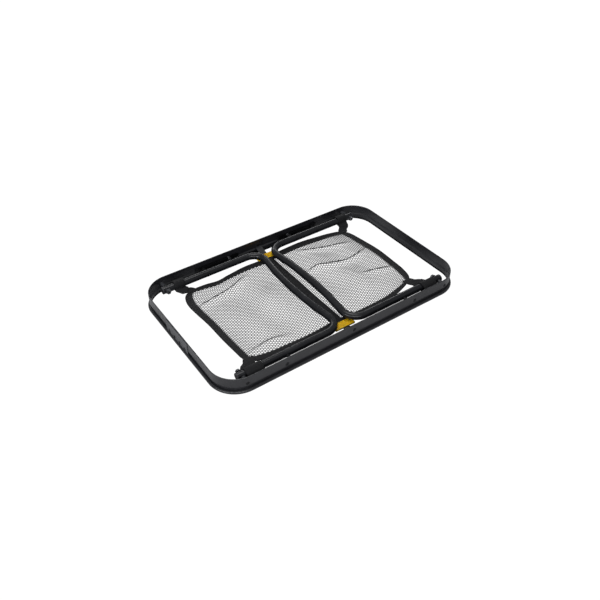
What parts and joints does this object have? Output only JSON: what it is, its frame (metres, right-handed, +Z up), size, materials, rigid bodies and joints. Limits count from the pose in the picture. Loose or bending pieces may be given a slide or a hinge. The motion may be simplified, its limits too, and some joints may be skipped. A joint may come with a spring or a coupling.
{
  "type": "folding luggage rack",
  "caption": "Low folding rack: rounded rectangular steel rim with two fold-flat U legs on folding braces and a mesh net slung between them.",
  "frame": {"origin": "centre of the rim on the plane its bead stands on", "axes": "+X along the long rails, +Y across the rack, +Z up from the bead towards the side the legs open to"},
  "size_m": [0.71, 0.438, 0.0435],
  "materials": {
    "black_enamel": "satin black powder coat",
    "black_tube": "satin black coating on tube",
    "black_plate": "semi-matt black coating",
    "zinc_steel": "zinc plated",
    "black_rivet": "black oxide",
    "black_plastic": "moulded",
    "yellow_plastic": "moulded, ribbed",
    "mesh_fabric": "open knitted mesh",
    "black_webbing": "woven webbing"
  },
  "bodies": {
    "frame": {"rim": "black_enamel", "joint_plate": "black_enamel", "joint_rivets": "black_rivet", "pivot_bolts": "black_rivet", "pivot_spacers": "black_plastic", "pivot_washers": "zinc_steel", "pivot_nuts": "zinc_steel", "rail_rivets": "black_rivet", "net_panel_left": "mesh_fabric", "net_panel_right": "mesh_fabric", "net_binding_left": "black_webbing", "net_binding_right": "black_webbing", "centre_band": "black_webbing", "net_clip_front": "yellow_plastic", "net_clip_rear": "yellow_plastic", "tab_front": "black_plate", "tab_rear": "black_plate", "tab_rivets": "black_rivet", "corner_strap_left_front": "black_webbing", "corner_strap_left_rear": "black_webbing", "corner_strap_right_front": "black_webbing", "corner_strap_right_rear": "black_webbing"},
    "left_leg": {"left_leg_tube": "black_tube", "left_leg_plugs": "black_plastic", "left_strap_loops": "black_webbing", "left_arm_rivets": "zinc_steel"},
    "rail_link_left_front_body": {"rail_link_left_front": "black_plate", "knuckle_outer_left_front": "zinc_steel"},
    "leg_link_left_front_body": {"leg_link_left_front": "black_plate", "knuckle_inner_left_front": "zinc_steel"},
    "rail_link_left_rear_body": {"rail_link_left_rear": "black_plate", "knuckle_outer_left_rear": "zinc_steel"},
    "leg_link_left_rear_body": {"leg_link_left_rear": "black_plate", "knuckle_inner_left_rear": "zinc_steel"},
    "right_leg": {"right_leg_tube": "black_tube", "right_leg_plugs": "black_plastic", "right_strap_loops": "black_webbing", "right_arm_rivets": "zinc_steel"},
    "rail_link_right_front_body": {"rail_link_right_front": "black_plate", "knuckle_outer_right_front": "zinc_steel"},
    "leg_link_right_front_body": {"leg_link_right_front": "black_plate", "knuckle_inner_right_front": "zinc_steel"},
    "rail_link_right_rear_body": {"rail_link_right_rear": "black_plate", "knuckle_outer_right_rear": "zinc_steel"},
    "leg_link_right_rear_body": {"leg_link_right_rear": "black_plate", "knuckle_inner_right_rear": "zinc_steel"}
  },
  "joints": [
    {"name": "left_leg_fold", "type": "hinge", "parent": "frame", "child": "left_leg", "pos_m": [-0.292, 0, 0.0245], "axis": [0, -1, 0], "range_deg": [0, 105]},
    {"name": "left_front_rail_link_turn", "type": "hinge", "parent": "frame", "child": "rail_link_left_front_body", "pos_m": [-0.1905, -0.2089, 0.0245], "axis": [0, -1, 0], "range_deg": [0, 139.39]},
    {"name": "left_front_leg_link_turn", "type": "hinge", "parent": "left_leg", "child": "leg_link_left_front_body", "pos_m": [-0.175, -0.2039, 0.0245], "axis": [0, 1, 0], "range_deg": [0, 145.63]},
    {"name": "left_rear_rail_link_turn", "type": "hinge", "parent": "frame", "child": "rail_link_left_rear_body", "pos_m": [-0.1905, 0.2089, 0.0245], "axis": [0, -1, 0], "range_deg": [0, 139.39]},
    {"name": "left_rear_leg_link_turn", "type": "hinge", "parent": "left_leg", "child": "leg_link_left_rear_body", "pos_m": [-0.175, 0.2039, 0.0245], "axis": [0, 1, 0], "range_deg": [0, 145.63]},
    {"name": "right_leg_fold", "type": "hinge", "parent": "frame", "child": "right_leg", "pos_m": [0.292, 0, 0.0245], "axis": [0, 1, 0], "range_deg": [0, 105]},
    {"name": "right_front_rail_link_turn", "type": "hinge", "parent": "frame", "child": "rail_link_right_front_body", "pos_m": [0.1905, -0.2089, 0.0245], "axis": [0, 1, 0], "range_deg": [0, 139.39]},
    {"name": "right_front_leg_link_turn", "type": "hinge", "parent": "right_leg", "child": "leg_link_right_front_body", "pos_m": [0.175, -0.2039, 0.0245], "axis": [0, -1, 0], "range_deg": [0, 145.63]},
    {"name": "right_rear_rail_link_turn", "type": "hinge", "parent": "frame", "child": "rail_link_right_rear_body", "pos_m": [0.1905, 0.2089, 0.0245], "axis": [0, 1, 0], "range_deg": [0, 139.39]},
    {"name": "right_rear_leg_link_turn", "type": "hinge", "parent": "right_leg", "child": "leg_link_right_rear_body", "pos_m": [0.175, 0.2039, 0.0245], "axis": [0, -1, 0], "range_deg": [0, 145.63]}
  ],
  "couplings": [
    {"joint": "left_front_rail_link_turn", "follows": "left_leg_fold", "ratio": 1.3275},
    {"joint": "left_front_leg_link_turn", "follows": "left_leg_fold", "ratio": 1.3868},
    {"joint": "left_rear_rail_link_turn", "follows": "left_leg_fold", "ratio": 1.3275},
    {"joint": "left_rear_leg_link_turn", "follows": "left_leg_fold", "ratio": 1.3868},
    {"joint": "right_front_rail_link_turn", "follows": "right_leg_fold", "ratio": 1.3275},
    {"joint": "right_front_leg_link_turn", "follows": "right_leg_fold", "ratio": 1.3868},
    {"joint": "right_rear_rail_link_turn", "follows": "right_leg_fold", "ratio": 1.3275},
    {"joint": "right_rear_leg_link_turn", "follows": "right_leg_fold", "ratio": 1.3868}
  ]
}
